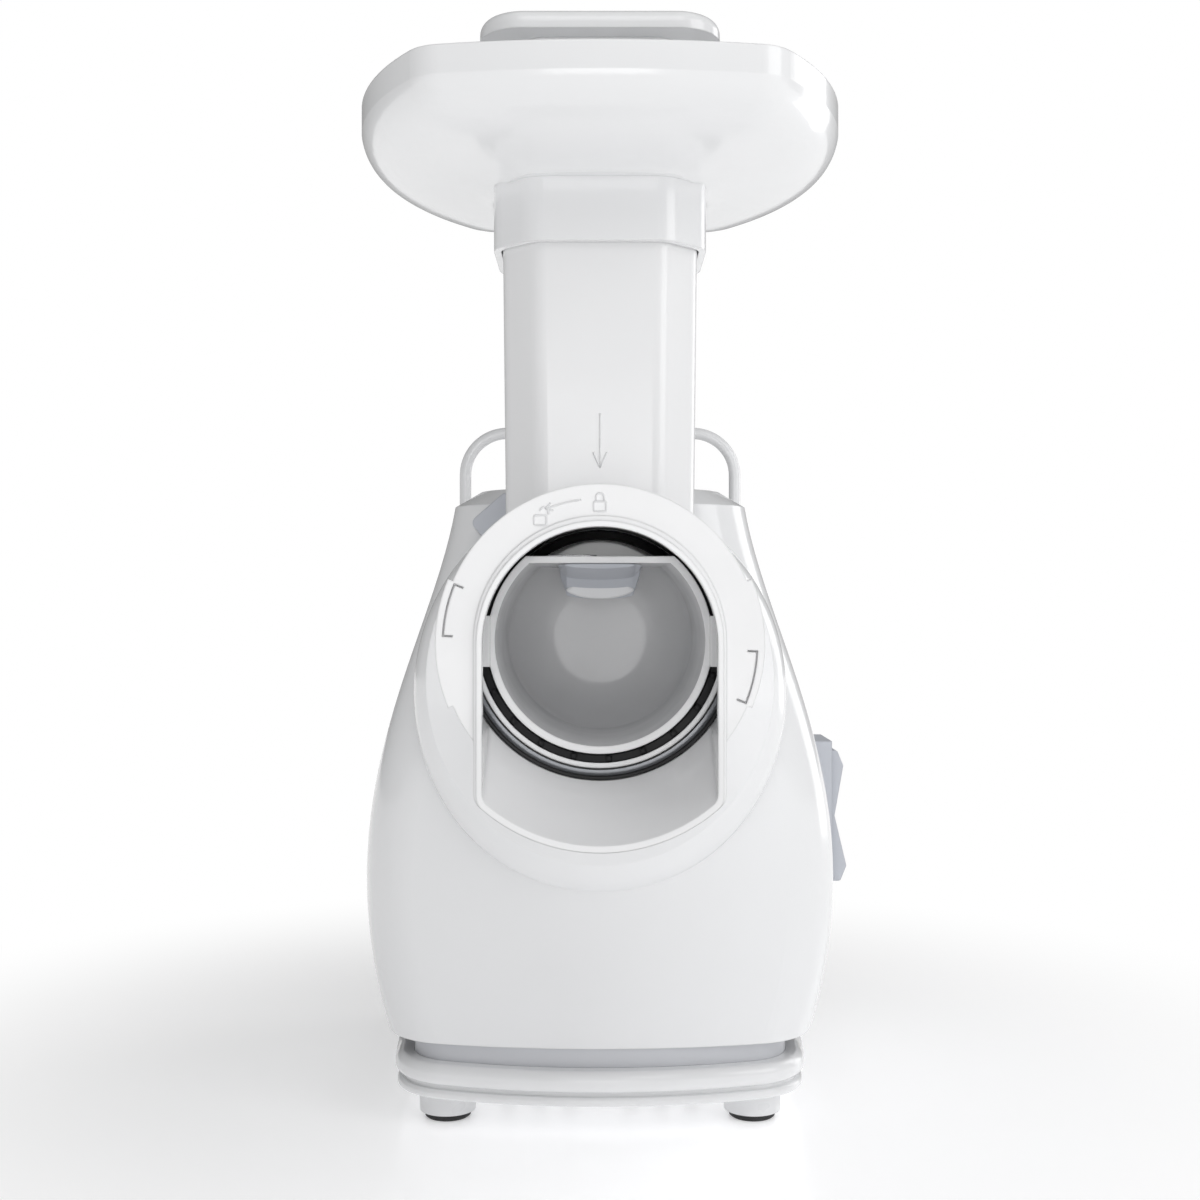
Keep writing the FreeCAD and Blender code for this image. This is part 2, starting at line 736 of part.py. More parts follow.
def tray_band_block(inset):
    """The upright band round the dish, open at the top where it is moved in."""
    half = size("tray_half")
    shrink = (half - inset) / half
    rim = size("tray_rim")
    top = rim + 1.0 if inset else rim
    return loft(tray_section(shrink, rim - size("tray_band")), tray_section(shrink, top), ruled=True)


def make_tray():
    wall = size("tray_wall")
    dish = tray_block(0.0).fuse(tray_band_block(0.0))
    dish = dish.cut(tray_block(wall)).cut(tray_band_block(wall))
    top = size("chute_top")
    low = size("sleeve_low")
    outer = chute_sleeve(2.6, 1.0, low, top + 2.0)
    inner = chute_sleeve(0.35, 0.2, low - 1, top + 0.3)
    way = chute_sleeve(-2.4, -1.4, top - 5, top + 12)
    tray = dish.fuse(outer).cut(inner).cut(way)
    keep("feed_tray", shaped("feed_tray", tray.removeSplitter()))


def make_pusher():
    """The pusher's stem fits the chute, and its wider collar stands on the tray's floor."""
    half = size("chute_half") - size("chute_wall") - 1.9
    depth = size("chute_depth") - size("chute_wall") - 1.9
    low = size("axis_height") + size("drum_radius") + 3.0
    seat = size("chute_top") + 2.5
    top = size("cap_top") - 6.2
    stem = loft(octagon(half, depth, 9.0, low, 3.5), octagon(half, depth, 9.0, seat + 1, 3.5), ruled=True)
    collar = loft(octagon(half + 3.6, depth + 3.6, 10.6, seat, 6.0),
                  octagon(half + 3.6, depth + 3.6, 10.6, top, 6.0), ruled=True)
    hollow = loft(octagon(half - 2.2, depth - 2.2, 8.0, low + 2.2, 2.0),
                  octagon(half - 2.2, depth - 2.2, 8.0, top + 1, 2.0), ruled=True)
    keep("pusher_stem", shaped("pusher_stem", stem.fuse(collar).cut(hollow).removeSplitter()))

    middle = size("chute_middle")
    cap = Part.makeBox(74.0, 68.0, 6.2, Vector(-37.0, middle - 34.0, top))
    cap = cap.makeFillet(14.0, [e for e in cap.Edges if upright(e)])
    rim = [e for e in cap.Edges if not upright(e) and e.BoundBox.ZMin > top + 6.0]
    cap = cap.makeFillet(4.0, rim)
    keep("pusher_cap", shaped("pusher_cap", cap))


# ---------------------------------------------------------------- front cover

def spout_wire(y, low, bottom_radius, arch, half, corner):
    """A closed outline: a half-round arch, two straight legs and a round bottom."""
    height = size("axis_height")
    centre = low + bottom_radius
    reach = bottom_radius - corner
    inner = half - corner
    corner_z = centre - math.sqrt(reach ** 2 - inner ** 2)
    touch = Vector(inner * bottom_radius / reach, y,
                   centre + (corner_z - centre) * bottom_radius / reach)
    slope = math.atan2(touch.z - corner_z, touch.x - inner) / 2
    middle = Vector(inner + corner * math.cos(slope), y, corner_z + corner * math.sin(slope))
    leg = Vector(half, y, corner_z)
    spring = Vector(half, y, height)

    def left(v):
        return Vector(-v.x, y, v.z)

    crown = Vector(0, y, height + arch)
    return Part.Wire([
        Part.Arc(spring, crown, left(spring)).toShape(),
        Part.LineSegment(left(spring), left(leg)).toShape(),
        Part.Arc(left(leg), left(middle), left(touch)).toShape(),
        Part.Arc(left(touch), Vector(0, y, low), touch).toShape(),
        Part.Arc(touch, middle, leg).toShape(),
        Part.LineSegment(leg, spring).toShape(),
    ])


def make_cover():
    height = size("axis_height")
    front = size("cover_front")
    back = -160.0
    wall = 2.4
    arch = size("arch_radius")
    half = size("spout_half")
    low = size("spout_low")
    skirt = tube_between(size("cover_radius"), 0, front, back, height)
    ears = sector(45.4, 30.0, front, back, -23.0, 23.0).fuse(
        sector(45.4, 30.0, front, back, 157.0, 203.0))
    spout = loft(spout_wire(front - 0.6, low, 50.0, arch + 3.0, half + wall, 5.0),
                 spout_wire(back - 12.0, height - size("cover_radius") + 1.3,
                            size("cover_radius") - 1.3, arch + 3.0, half + wall, 5.0), ruled=True)
    bead = loft(spout_wire(front - 1.6, low + 0.3, 50.0, arch + 1.6, half + 1.6, 4.6),
                spout_wire(front + 1.0, low + 0.3, 50.0, arch + 1.6, half + 1.6, 4.6), ruled=True)
    bore = tube_between(size("cover_bore"), 0, front + 3.0, back + 1, height)
    way = loft(spout_wire(front - 3.0, low + 1.4, 49.0, arch, half, 4.0),
               spout_wire(back - 12.5, height - size("cover_bore") + 0.5,
                          size("cover_bore") - 0.5, arch, half, 4.0), ruled=True)
    cover = skirt.fuse(ears).fuse(spout).fuse(bead).cut(bore).cut(way)
    # each side: a groove that the housing's lug turns in, its way in, and the outline of the ear's grip
    for first in (0.0, 180.0):
        cover = cover.cut(sector(43.3, 38.0, front + 3.2, -162.4, first - 23.0, first + 14.0))
        cover = cover.cut(sector(43.3, 38.0, -163.0, back + 1, first + 5.0, first + 14.0))
        cover = cover.cut(sector(43.5, 43.0, front - 1, front + 1.6, first - 22.5, first - 2.5))
        cover = cover.cut(sector(43.5, 40.6, front - 1, front + 1.6, first - 22.5, first - 21.8))
        cover = cover.cut(sector(43.5, 40.6, front - 1, front + 1.6, first - 3.2, first - 2.5))
    keep("front_cover", shaped("front_cover", cover.removeSplitter()))


# ---------------------------------------------------------------- slicing drum and drive

def make_drum():
    """A cup with one flat side: the food is cut where the flat's slot meets the blade."""
    height = size("axis_height")
    front = size("mouth") - 1.5
    rear = size("barrel_back") - 4.4
    wall = size("drum_wall")
    blank = turned("drum_blank", [
        (front, 0), (rear, 0), (rear, 32.0), (f"{rear} - 3", 32.4), (front, "sizes.drum_radius")],
        0, 0, "sizes.axis_height")
    cavity = turned("drum_cavity", [
        (front - 5, 0), (rear - 4, 0), (rear - 4, "32.0 - sizes.drum_wall"),
        (front - 5, "sizes.drum_radius - sizes.drum_wall + 0.1")], 0, 0, "sizes.axis_height")
    round_edges(cavity, cavity.Tip, 16.0, on_edge_circle(32.0 - wall, rear - 4))
    flat = "sizes.axis_height + sizes.flat_rise"
    below = box("under_flat", (-40, front - 10, 100), (40, rear, flat))
    above = box("over_flat", (-40, front - 10, f"{flat} + 2"), (40, rear - 4, "sizes.axis_height + 50"))
    slot = box("slice_slot", (-3, -158, f"{flat} - 2"), (5, -112, f"{flat} + 4"))
    cup = cut("drum_cup", blank, common("drum_hollow", cavity, below), above, slot)
    hub = cylinder("drum_hub", 9, 16, 0, rear - 0.5, "sizes.axis_height")
    socket = box("drum_socket", (-4.3, rear + 3, "sizes.axis_height - 4.3"),
                 (4.3, rear + 20, "sizes.axis_height + 4.3"))
    lug_right = box("lug_right", (32, front - 2.5, "sizes.axis_height - 7.4"),
                    (38, front, "sizes.axis_height + 7.4"))
    lug_left = box("lug_left", (-38, front - 2.5, "sizes.axis_height - 7.4"),
                   (-32, front, "sizes.axis_height + 7.4"))
    drum = cut("slicing_drum", fuse("drum_all", cup, hub, lug_right, lug_left), socket)
    keep("slicing_drum", drum)
    blade = padded("drum_blade", [(-16, -160), (-2.2, -160), (-1, -158), (-1, -112), (-2.2, -110),
                                  (-16, -110)], 0.8, f"{flat} + 2")
    keep("drum_blade", blade)


def gear_block(teeth, module, start, end, centre, phase):
    """An external gear along Y. phase is the angle of one tooth's middle, in degrees."""
    pitch = module * teeth / 2
    base = pitch * math.cos(math.radians(20))
    tip = pitch + module
    root = pitch - 1.2 * module
    thin = 0.06 * module
    half_tooth = math.pi / (2 * teeth) - thin / pitch

    def involute(radius):
        if radius <= base:
            return 0.0
        ratio = math.sqrt((radius / base) ** 2 - 1)
        return ratio - math.atan(ratio)

    radii = [root, max(root, base) + 0.02, pitch, tip]
    points = []
    for tooth in range(teeth):
        middle = math.radians(phase) + 2 * math.pi * tooth / teeth
        flank = [half_tooth + involute(pitch) - involute(radius) for radius in radii]
        sides = [(radius, middle - turn) for radius, turn in zip(radii, flank)]
        sides += [(radius, middle + turn) for radius, turn in zip(reversed(radii), reversed(flank))]
        points += [Vector(radius * math.cos(a), start, centre + radius * math.sin(a))
                   for radius, a in sides]
    face = Part.Face(Part.makePolygon(points + points[:1]))
    return face.extrude(Vector(0, end - start, 0))


OUTPUT_TEETH = 52
COUNTER_SMALL = 12
COUNTER_LARGE = 60
PINION_TEETH = 10
FINAL_MODULE = 1.25
FIRST_MODULE = 1.0


def bored(shape, radius, centre):
    return shape.cut(Part.makeCylinder(radius, 300.0, Vector(0, -200.0, centre), Vector(0, 1, 0)))


def make_gears():
    drum_axis = size("axis_height")
    counter = size("counter_height")
    motor = size("motor_height")
    output = gear_block(OUTPUT_TEETH, FINAL_MODULE, -66.0, -53.0, drum_axis,
                        -90.0 + 180.0 / OUTPUT_TEETH)
    keep("output_gear", shaped("output_gear", bored(output, 6.0, drum_axis)))

    square = 4.2
    spindle = tube_between(6.0, 0, -82.0, -34.0, drum_axis)
    tip = Part.makeBox(2 * square, 15.5, 2 * square, Vector(-square, -97.0, drum_axis - square))
    keep("drive_spindle", shaped("drive_spindle", spindle.fuse(tip).removeSplitter()))

    small = gear_block(COUNTER_SMALL, FINAL_MODULE, -67.0, -51.9, counter, 90.0)
    large = gear_block(COUNTER_LARGE, FIRST_MODULE, -48.0, -40.0, counter,
                       -90.0 + 180.0 / COUNTER_LARGE)
    core = tube_between(8.5, 0, -52.0, -38.0, counter)
    pair = bored(small.fuse(large).fuse(core), 3.04, counter)
    keep("counter_gear", shaped("counter_gear", pair.removeSplitter()))
    keep("counter_pin", shaped("counter_pin", tube_between(3.0, 0, -74.5, -33.0, counter)))

    pinion = gear_block(PINION_TEETH, FIRST_MODULE, -49.0, -39.0, motor, 90.0)
    keep("motor_pinion", shaped("motor_pinion", bored(pinion, 2.5, motor)))


def pill(radius, start, end, low, high):
    """A solid along Y whose outline is two half rounds joined by straight sides."""
    lower = tube_between(radius, 0, start, end, low)
    upper = tube_between(radius, 0, start, end, high)
    middle = Part.makeBox(2 * radius, end - start, high - low, Vector(-radius, start, low))
    return lower.fuse(upper).fuse(middle).removeSplitter()


GEARBOX_SCREWS = [(-41.0, 176.0), (41.0, 176.0), (-41.0, 128.0), (41.0, 128.0)]


def make_gearbox():
    drum_axis = size("axis_height")
    counter = size("counter_height")
    motor = size("motor_height")
    low = 122.0
    housing = pill(39.0, -74.0, -36.0, low, drum_axis)
    housing = housing.cut(pill(36.0, -70.0, -35.0, low, drum_axis))
    housing = housing.fuse(tube_between(11.0, 0, -76.9, -69.0, drum_axis))
    housing = housing.fuse(tube_between(7.0, 0, -75.5, -69.0, counter))
    housing = housing.fuse(button_arm(36.5, 57.0, 8.0, -70.5, -68.0))
    housing = bored(housing, 9.0, drum_axis)
    housing = bored(housing, 3.0, counter)
    cover = pill(39.0, -36.0, -32.0, low, drum_axis).fuse(tube_between(10.0, 0, -32.5, -30.5, drum_axis))
    cover = cover.fuse(pill(12.0, -36.0, -32.0, motor, low))
    cover = bored(cover, 9.0, drum_axis)
    cover = cover.cut(tube_between(3.0, 0, -36.1, -33.0, counter))
    cover = bored(cover, 7.0, motor)
    screws = []
    for x, z in GEARBOX_SCREWS:
        ear = Part.makeCylinder(4.5, 10.0, Vector(x, -46.0, z), Vector(0, 1, 0))
        plate = Part.makeCylinder(4.5, 4.0, Vector(x, -36.0, z), Vector(0, 1, 0))
        hole = Part.makeCylinder(1.5, 30.0, Vector(x, -44.0, z), Vector(0, 1, 0))
        housing = housing.fuse(ear.cut(pill(36.0, -80.0, -30.0, low, drum_axis))).cut(hole)
        cover = cover.fuse(plate).cut(hole)
        shank = Part.makeCylinder(1.5, 10.0, Vector(x, -42.0, z), Vector(0, 1, 0))
        head = Part.makeCylinder(2.8, 2.0, Vector(x, -32.0, z), Vector(0, 1, 0))
        screws.append(shank.fuse(head))
    keep("gearbox_housing", shaped("gearbox_housing", housing.removeSplitter()))
    keep("gearbox_cover", shaped("gearbox_cover", cover.removeSplitter()))
    keep("gearbox_screws", group("gearbox_screws", screws))
    for name, start in (("front", -76.9), ("rear", -36.0)):
        bush = turned("spindle_bush_" + name, [
            (0, 6.04), (5.4, 6.04), (5.4, 9), (0, 9)], 0, start, "sizes.axis_height")
        keep("spindle_bush_" + name, bush)


def make_motor():
    """A series motor: laminated stator with windings, rotor, commutator, brushes and fan."""
    motor = size("motor_height")
    shaft = turned("rotor_shaft", [
        (-50, 0), (58, 0), (58, 3.5), (46, 3.5), (46, 4), (-26, 4), (-26, 3.5), (-32, 3.5),
        (-32, 2.5), (-50, 2.5)], z="sizes.motor_height")
    keep("rotor_shaft", shaft)
    core = tube_between(19.0, 4.0, -10.0, 28.0, motor)
    for i in range(12):
        slot = Part.makeBox(2.0, 40.0, 7.0, Vector(-1.0, -11.0, motor + 12.5))
        slot.rotate(Vector(0, 0, motor), Vector(0, 1, 0), 30.0 * i)
        core = core.cut(slot)
    keep("rotor_core", shaped("rotor_core", core))
    commutator = tube_between(10.5, 4.0, 32.0, 44.0, motor)
    for i in range(24):
        gap = Part.makeBox(0.5, 14.0, 1.5, Vector(-0.25, 31.0, motor + 9.6))
        gap.rotate(Vector(0, 0, motor), Vector(0, 1, 0), 15.0 * i)
        commutator = commutator.cut(gap)
    keep("commutator", shaped("commutator", commutator))

    fan = tube_between(7.0, 4.0, -24.0, -15.0, motor).fuse(tube_between(24.0, 4.0, -17.0, -15.5, motor))
    for i in range(10):
        blade = Part.makeBox(1.4, 7.0, 18.0, Vector(-0.7, -24.0, motor + 6.0))
        blade.rotate(Vector(0, 0, motor), Vector(0, 1, 0), 36.0 * i)
        fan = fan.fuse(blade)
    keep("cooling_fan", shaped("cooling_fan", fan.removeSplitter()))

    stator = Part.makeBox(68.0, 38.0, 60.0, Vector(-34.0, -10.0, motor - 30.0))
    stator = stator.makeFillet(9.0, [e for e in stator.Edges if level(e)])
    stator = bored(stator, 19.6, motor)
    for side in (-1, 1):
        stator = stator.cut(Part.makeBox(7.0, 60.0, 36.0, Vector(side * 22.5 - 3.5, -20.0, motor - 18.0)))
    keep("stator_core", shaped("stator_core", stator.removeSplitter()))
    coils = []
    for side in (-1, 1):
        outer = Part.makeBox(6.0, 46.0, 33.0, Vector(side * 22.8 - 3.0, -14.0, motor - 16.5))
        coils.append(outer.makeFillet(2.0, outer.Edges))
    coils = [coil.cut(tube_between(20.2, 0, -20.0, 40.0, motor)) for coil in coils]
    keep("stator_windings", group("stator_windings", coils))

    for name, start in (("front", -31.5), ("rear", 50.0)):
        bearing = turned("motor_bearing_" + name, [
            (0, 3.54), (5.4, 3.54), (5.4, 8), (0, 8)], 0, start, "sizes.motor_height")
        keep("motor_bearing_" + name, bearing)
    front = Part.makeBox(84.0, 3.0, 24.0, Vector(-42.0, -28.5, motor - 12.0))
    front = front.fuse(tube_between(11.0, 0, -31.8, -26.0, motor))
    rear = Part.makeBox(84.0, 3.0, 24.0, Vector(-42.0, 52.0, motor - 12.0))
    rear = rear.fuse(tube_between(11.0, 0, 49.5, 56.0, motor))
    bracket_front = front.cut(tube_between(8.0, 0, -32.0, -25.0, motor))
    bracket_rear = rear.cut(tube_between(8.0, 0, 49.0, 57.0, motor))
    keep("motor_bracket_front", shaped("motor_bracket_front", bracket_front.removeSplitter()))
    keep("motor_bracket_rear", shaped("motor_bracket_rear", bracket_rear.removeSplitter()))

    rods = []
    for x in (-38.5, 38.5):
        rods.append(Part.makeCylinder(2.0, 86.0, Vector(x, -30.0, motor), Vector(0, 1, 0)))
    bolts = rods[0].fuse(rods[1])
    for name in ("motor_bracket_front", "motor_bracket_rear"):
        NODES[name].Shape = NODES[name].Shape.cut(bolts)
    keep("motor_bolts", group("motor_bolts", rods))

    brushes = []
    holders = []
    for side in (-1, 1):
        low = 10.7 if side > 0 else -21.7
        brushes.append(Part.makeBox(11.0, 6.0, 5.0, Vector(low, 35.0, motor - 2.5)))
        start = 14.0 if side > 0 else -28.0
        holder = Part.makeBox(14.0, 8.4, 7.4, Vector(start, 33.8, motor - 3.7))
        holders.append(holder.cut(Part.makeBox(100.0, 6.1, 5.1, Vector(-50.0, 34.95, motor - 2.55))))
    keep("carbon_brushes", group("carbon_brushes", brushes))
    keep("brush_holders", group("brush_holders", holders))


def make_frame():
    """The motor carrier that stands on the base and holds the gearbox and the motor brackets."""
    motor = size("motor_height")
    floor = size("rail_middle")
    plate = Part.makeBox(100.0, 124.0, 3.0, Vector(-50.0, -66.0, floor + 2.6))
    feet = Part.makeBox(8.0, 124.0, 2.6, Vector(-50.0, -66.0, floor))
    feet = feet.fuse(Part.makeBox(8.0, 124.0, 2.6, Vector(42.0, -66.0, floor)))
    walls = plate.fuse(feet)
    for y in (-28.5, 52.0):
        wall = Part.makeBox(60.0, 3.0, motor - 12.0 - floor - 2.6, Vector(-30.0, y, floor + 2.6))
        walls = walls.fuse(wall)
    gear_post = Part.makeBox(50.0, 6.0, 75.0, Vector(-25.0, -64.0, floor + 2.6))
    walls = walls.fuse(gear_post).cut(pill(39.0, -80.0, -30.0, 122.0, 176.0))
    walls = walls.cut(Part.makeBox(40.0, 40.0, 10.0, Vector(-20.0, -18.0, floor - 1)))
    keep("motor_carrier", shaped("motor_carrier", walls.removeSplitter()))


def make_wiring():
    """The terminal block and the bush that the cord enters through."""
    floor = size("rail_middle") + 5.6
    block = Part.makeBox(26.0, 12.0, 12.0, Vector(-48.0, 40.0, floor))
    for i in range(3):
        block = block.cut(Part.makeCylinder(2.0, 8.0, Vector(-43.0 + 8.0 * i, 46.0, floor + 5.0)))
    keep("terminal_block", shaped("terminal_block", block))
    line = Part.makeLine(Vector(CORD_X, 0, CORD_Z), Vector(CORD_X, 200, CORD_Z))
    rear = line.common(body_block(0.0)).BoundBox.YMax
    bush = turned("cord_inlet_bush", [
        (-8, 3.6), (4.4, 3.6), (4.4, 7.4), (2.0, 7.8), (2.0, 5.4), (-8, 5.4)], CORD_X, rear, CORD_Z)
    keep("cord_inlet_bush", bush)


make_body()
make_base()
make_handle()
make_rocker()
make_button()
make_socket()
make_housing()
make_tray()
make_pusher()
make_cover()
make_drum()
make_gears()
make_gearbox()
make_motor()
make_frame()
make_wiring()

# ---------------------------------------------------------------- check and write

doc.recompute()
faults = []
for obj in doc.Objects:
    if "Invalid" in obj.State or "Error" in obj.State:
        faults.append(f"{obj.Name}: {obj.State}")
for label, obj in NODES.items():
    if obj.Shape.isNull() or not obj.Shape.isValid():
        faults.append(f"{label}: shape is null or not valid")
if faults:
    raise SystemExit("\n".join(faults))

os.makedirs("parts", exist_ok=True)
for label, obj in NODES.items():
    obj.Shape.exportStep(f"parts/{label}.step")
print(len(NODES), "nodes written")
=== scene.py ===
import json
import math

import bmesh
import bpy
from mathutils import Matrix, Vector


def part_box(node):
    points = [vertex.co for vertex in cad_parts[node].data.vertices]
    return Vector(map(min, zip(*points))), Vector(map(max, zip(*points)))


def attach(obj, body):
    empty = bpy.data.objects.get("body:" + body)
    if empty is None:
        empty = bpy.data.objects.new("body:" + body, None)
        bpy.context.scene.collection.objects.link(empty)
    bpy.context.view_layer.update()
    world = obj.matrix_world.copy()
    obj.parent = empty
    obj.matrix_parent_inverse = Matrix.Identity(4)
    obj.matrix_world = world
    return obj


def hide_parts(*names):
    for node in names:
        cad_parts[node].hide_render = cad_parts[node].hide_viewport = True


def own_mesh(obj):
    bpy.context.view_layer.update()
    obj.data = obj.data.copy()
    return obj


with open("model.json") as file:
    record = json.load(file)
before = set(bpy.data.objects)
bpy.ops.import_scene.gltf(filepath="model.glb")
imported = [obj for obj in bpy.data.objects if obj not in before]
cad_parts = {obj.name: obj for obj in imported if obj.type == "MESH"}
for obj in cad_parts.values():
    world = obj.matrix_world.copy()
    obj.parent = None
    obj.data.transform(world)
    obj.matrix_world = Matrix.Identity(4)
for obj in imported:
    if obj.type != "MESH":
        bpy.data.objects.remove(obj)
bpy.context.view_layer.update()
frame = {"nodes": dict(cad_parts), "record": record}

MM = 0.001
NODES = frame["nodes"]
SLOT_OF = {part["node"]: part["material_slot"] for part in frame["record"]["subparts"]}


# ---------------------------------------------------------------- camera, floor and lights

def middle(name):
    low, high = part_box(name)
    return (low + high) / 2


def set_camera():
    """Level with the drum, straight in front of the feed chute."""
    distance = 0.487
    eye_height = 0.188
    data = bpy.data.cameras.new("camera")
    data.lens = 45.3
    data.sensor_width = 36.0
    data.clip_start = 0.01
    camera = bpy.data.objects.new("camera", data)
    bpy.context.scene.collection.objects.link(camera)
    camera.location = (0.0, middle("feed_tray").y - distance, eye_height)
    camera.rotation_euler = (math.radians(90), 0, 0)
    bpy.context.scene.camera = camera


def add_light(name, location, size, power):
    """A soft rectangular light that points at the middle of the object."""
    target = Vector((0.0, -0.05, 0.18))
    data = bpy.data.lights.new(name, "AREA")
    data.shape = "RECTANGLE"
    data.size, data.size_y = size
    data.energy = power
    light = bpy.data.objects.new(name, data)
    bpy.context.scene.collection.objects.link(light)
    light.location = location
    light.rotation_euler = (target - Vector(location)).to_track_quat("-Z", "Y").to_euler()


def set_lights():
    add_light("key_right", (0.95, -0.75, 0.70), (0.7, 0.9), 4.0)
    add_light("top", (0.1, -0.2, 1.1), (0.7, 0.7), 0.6)
    add_light("rim_right", (0.8, 0.4, 0.4), (0.4, 0.8), 2.0)
    add_light("front_high", (0.1, -1.15, 1.25), (0.8, 0.9), 4.2)
    add_light("front_level", (0.0, -1.7, 0.24), (0.5, 0.4), 1.7)


def set_world():
    world = bpy.data.worlds.new("studio")
    bpy.context.scene.world = world
    world.use_nodes = True
    tree = world.node_tree
    tree.nodes.clear()
    out = tree.nodes.new("ShaderNodeOutputWorld")
    glow = tree.nodes.new("ShaderNodeBackground")
    glow.inputs["Color"].default_value = (1, 1, 1, 1)
    glow.inputs["Strength"].default_value = 0.27
    white = tree.nodes.new("ShaderNodeBackground")
    white.inputs["Color"].default_value = (1, 1, 1, 1)
    white.inputs["Strength"].default_value = 1.0
    path = tree.nodes.new("ShaderNodeLightPath")
    mix = tree.nodes.new("ShaderNodeMixShader")
    tree.links.new(path.outputs["Is Camera Ray"], mix.inputs["Fac"])
    tree.links.new(glow.outputs[0], mix.inputs[1])
    tree.links.new(white.outputs[0], mix.inputs[2])
    tree.links.new(mix.outputs[0], out.inputs["Surface"])


def floor_material():
    """Pale and slightly glossy round the object, fading to plain white further out."""
    shadow_reach = 0.13
    white_from = 0.38
    material = bpy.data.materials.new("floor")
    material.use_nodes = True
    tree = material.node_tree
    tree.nodes.clear()
    out = tree.nodes.new("ShaderNodeOutputMaterial")
    near = tree.nodes.new("ShaderNodeBsdfPrincipled")
    near.inputs["Base Color"].default_value = (0.93, 0.93, 0.94, 1)
    near.inputs["Roughness"].default_value = 0.22
    lift = tree.nodes.new("ShaderNodeEmission")
    lift.inputs["Strength"].default_value = 0.34
    both = tree.nodes.new("ShaderNodeAddShader")
    far = tree.nodes.new("ShaderNodeEmission")
    far.inputs["Strength"].default_value = 1.0
    place = tree.nodes.new("ShaderNodeTexCoord")
    length = tree.nodes.new("ShaderNodeVectorMath")
    length.operation = "LENGTH"
    ramp = tree.nodes.new("ShaderNodeMapRange")
    ramp.interpolation_type = "SMOOTHSTEP"
    ramp.inputs["From Min"].default_value = shadow_reach
    ramp.inputs["From Max"].default_value = white_from
    mix = tree.nodes.new("ShaderNodeMixShader")
    tree.links.new(place.outputs["Object"], length.inputs[0])
    tree.links.new(length.outputs["Value"], ramp.inputs["Value"])
    tree.links.new(ramp.outputs["Result"], mix.inputs["Fac"])
    tree.links.new(near.outputs[0], both.inputs[0])
    tree.links.new(lift.outputs[0], both.inputs[1])
    tree.links.new(both.outputs[0], mix.inputs[1])
    tree.links.new(far.outputs[0], mix.inputs[2])
    tree.links.new(mix.outputs[0], out.inputs["Surface"])
    return material


def set_floor():
    mesh = bpy.data.meshes.new("floor")
    reach = 6.0
    corners = [(-reach, -reach, 0), (reach, -reach, 0), (reach, reach, 0), (-reach, reach, 0)]
    mesh.from_pydata(corners, [], [(0, 1, 2, 3)])
    floor = bpy.data.objects.new("floor", mesh)
    bpy.context.scene.collection.objects.link(floor)
    floor.data.materials.append(floor_material())


# ---------------------------------------------------------------- materials

# How far the shading rounds every edge, in metres.
EDGE_RADIUS = 0.0007


def node_group(material):
    """An empty node tree with one shader wired to its output."""
    material.use_nodes = True
    tree = material.node_tree
    tree.nodes.clear()
    out = tree.nodes.new("ShaderNodeOutputMaterial")
    shader = tree.nodes.new("ShaderNodeBsdfPrincipled")
    tree.links.new(shader.outputs[0], out.inputs["Surface"])
    return tree, shader


def noise(tree, scale, detail=3.0):
    """A noise value from 0 to 1 that is fixed to the object."""
    place = tree.nodes.new("ShaderNodeTexCoord")
    texture = tree.nodes.new("ShaderNodeTexNoise")
    texture.inputs["Scale"].default_value = scale
    texture.inputs["Detail"].default_value = detail
    tree.links.new(place.outputs["Object"], texture.inputs["Vector"])
    return texture.outputs["Fac"]


def spread(tree, value, low, high):
    """The value from 0.3 to 0.7 laid out between low and high."""
    ramp = tree.nodes.new("ShaderNodeMapRange")
    ramp.inputs["From Min"].default_value = 0.3
    ramp.inputs["From Max"].default_value = 0.7
    ramp.inputs["To Min"].default_value = low
    ramp.inputs["To Max"].default_value = high
    tree.links.new(value, ramp.inputs["Value"])
    return ramp.outputs["Result"]


